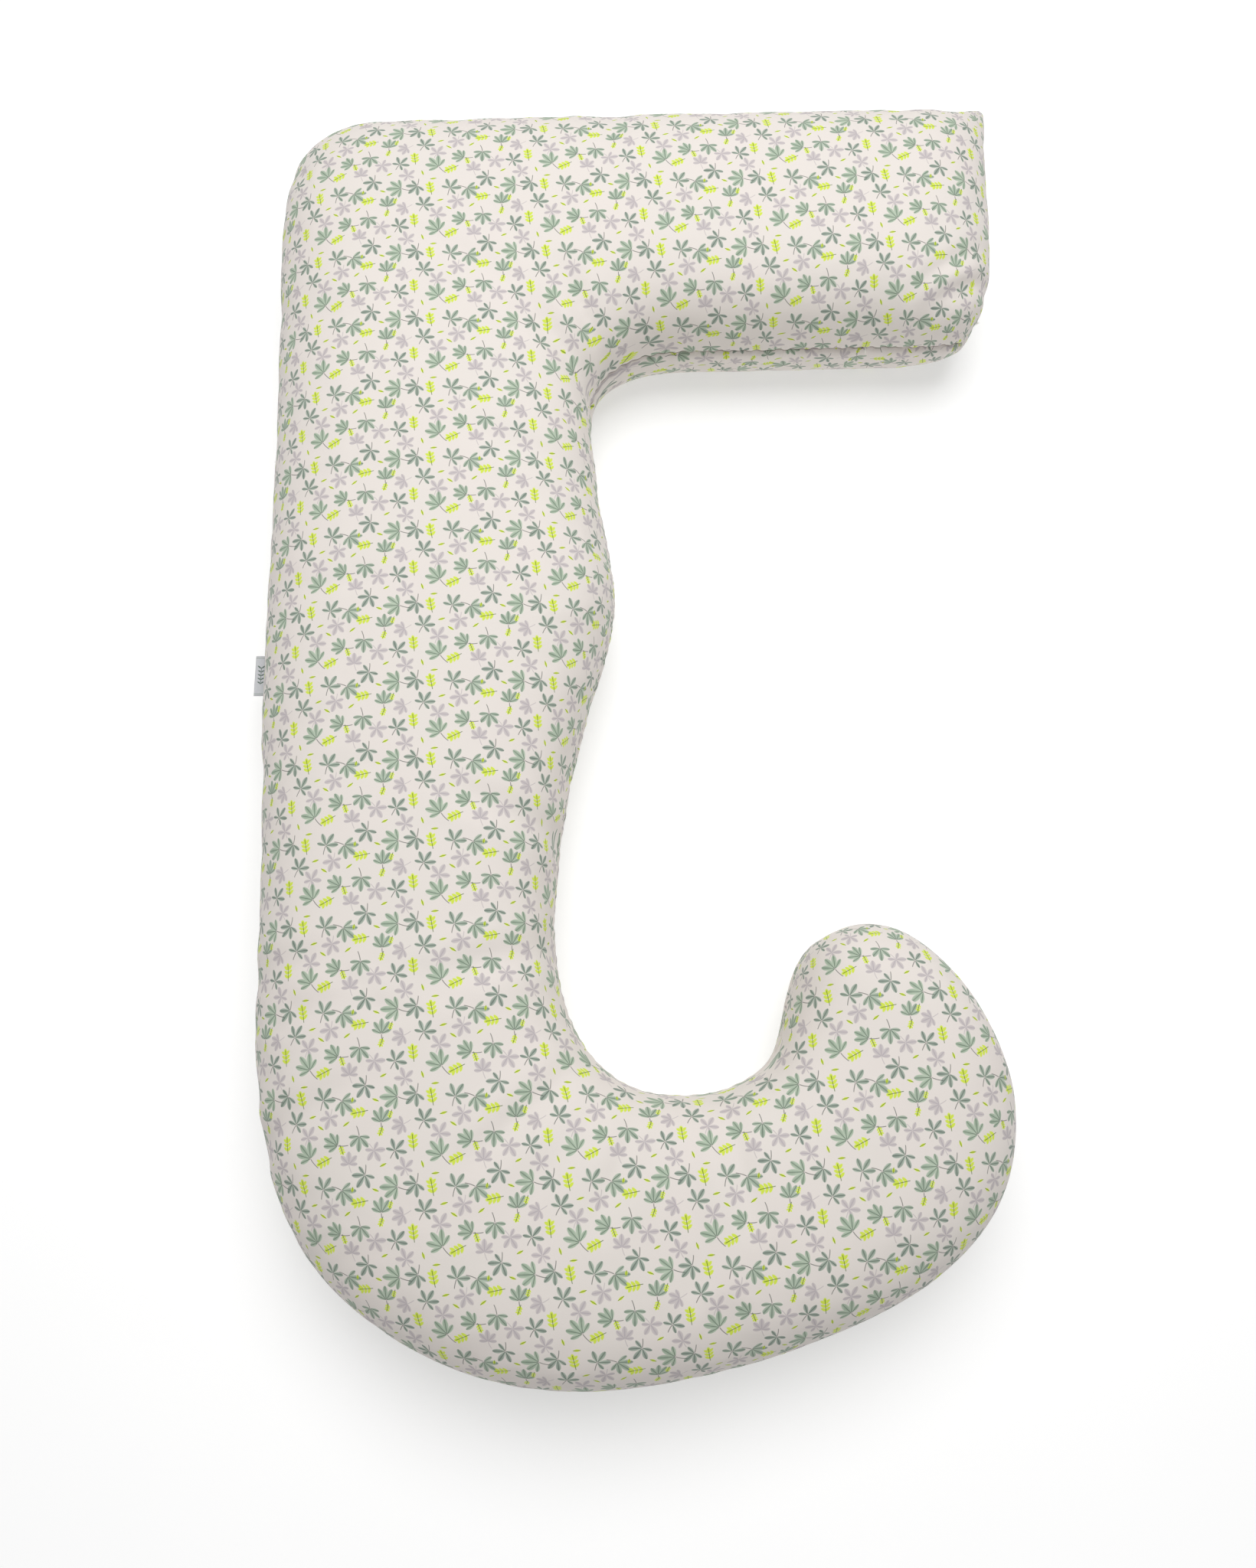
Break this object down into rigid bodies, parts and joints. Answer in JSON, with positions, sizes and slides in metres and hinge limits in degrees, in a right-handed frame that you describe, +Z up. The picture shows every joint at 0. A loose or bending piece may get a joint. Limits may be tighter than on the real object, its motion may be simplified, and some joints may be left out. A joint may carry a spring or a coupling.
{
  "type": "nursing pillow",
  "caption": "Long C-shaped stuffed nursing and maternity pillow with a straight arm, a curled hook end and a zipped printed cotton cover.",
  "frame": {"origin": "on the floor under the middle of the bounding box, with the pillow lying flat on its back panel", "axes": "+X across the pillow towards the free ends of the arm and the hook, +Y up its long side towards the arm, +Z up through its thickness, out of the front panel"},
  "size_m": [0.763, 1.2978, 0.191],
  "materials": {
    "cover_cotton": "matt printed cotton",
    "casing_cotton": "matt",
    "polyester_fibre": "matt",
    "zip_tape": "woven",
    "zip_nylon": "satin",
    "zip_metal": "satin enamel",
    "label_satin": "woven satin",
    "care_satin": "satin"
  },
  "bodies": {
    "pillow": {"cover_front_panel": "cover_cotton", "cover_back_panel": "cover_cotton", "inner_casing_front": "casing_cotton", "inner_casing_back": "casing_cotton", "fibre_fill": "polyester_fibre", "zip_tape_front": "zip_tape", "zip_tape_back": "zip_tape", "zip_coil_front": "zip_nylon", "zip_coil_back": "zip_nylon", "zip_top_stops": "zip_nylon", "zip_bottom_stop": "zip_nylon", "care_label": "care_satin"},
    "zip_slider": {"zip_slider": "zip_metal"},
    "zip_pull_tab": {"zip_pull_tab": "zip_metal"},
    "side_label": {"side_label": "label_satin"}
  },
  "joints": [
    {"name": "zip_slide", "type": "slide", "parent": "pillow", "child": "zip_slider", "axis": [-0.9997, -0.0236, 0], "range_m": [0, 0.547], "deforming": ["zip_coil_front", "zip_coil_back"]},
    {"name": "pull_tab_swing", "type": "hinge", "parent": "zip_slider", "child": "zip_pull_tab", "pos_m": [0.31606, 0.64636, 0.091], "axis": [0, 0, -1], "range_deg": [0, 180]},
    {"name": "side_label_fold", "type": "hinge", "parent": "pillow", "child": "side_label", "pos_m": [-0.368, 0.0162, 0.091], "axis": [0, 1, 0], "range_deg": [-70, 70], "stiffness_Nm_per_rad": 0.0005}
  ]
}
